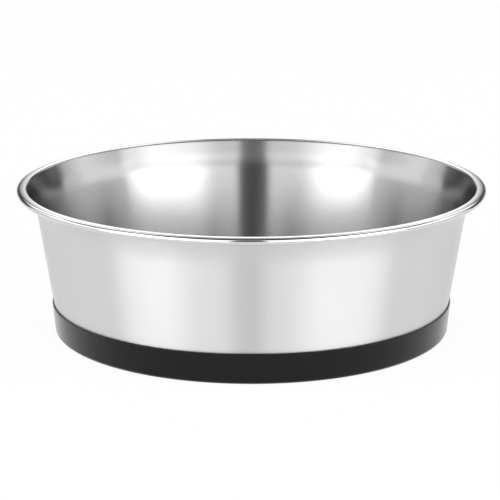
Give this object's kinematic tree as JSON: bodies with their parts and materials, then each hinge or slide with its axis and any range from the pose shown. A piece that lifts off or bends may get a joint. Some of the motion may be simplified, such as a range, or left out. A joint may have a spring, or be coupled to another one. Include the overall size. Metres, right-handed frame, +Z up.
{
  "type": "dog bowl",
  "caption": "Wide low stainless dog bowl: a tapered drawn steel shell with a level lip and a rolled rim, bonded into a black rubber base that keeps it from sliding.",
  "frame": {"origin": "on the bowl's axis at floor level, the centre of its footprint", "axes": "+Z up along the bowl's axis; the bowl is round, and -Y faces the picture's viewpoint, with +X to its right"},
  "size_m": [0.222, 0.222, 0.07],
  "materials": {
    "steel": "brushed round the outside wall, polished inside and over the lip and the rolled rim",
    "adhesive": "thin cured adhesive, dull",
    "rubber": "moulded black rubber with a fine dull grain"
  },
  "bodies": {
    "root": {"steel_bowl": "steel", "adhesive_film": "adhesive", "rubber_base": "rubber"}
  },
  "joints": []
}
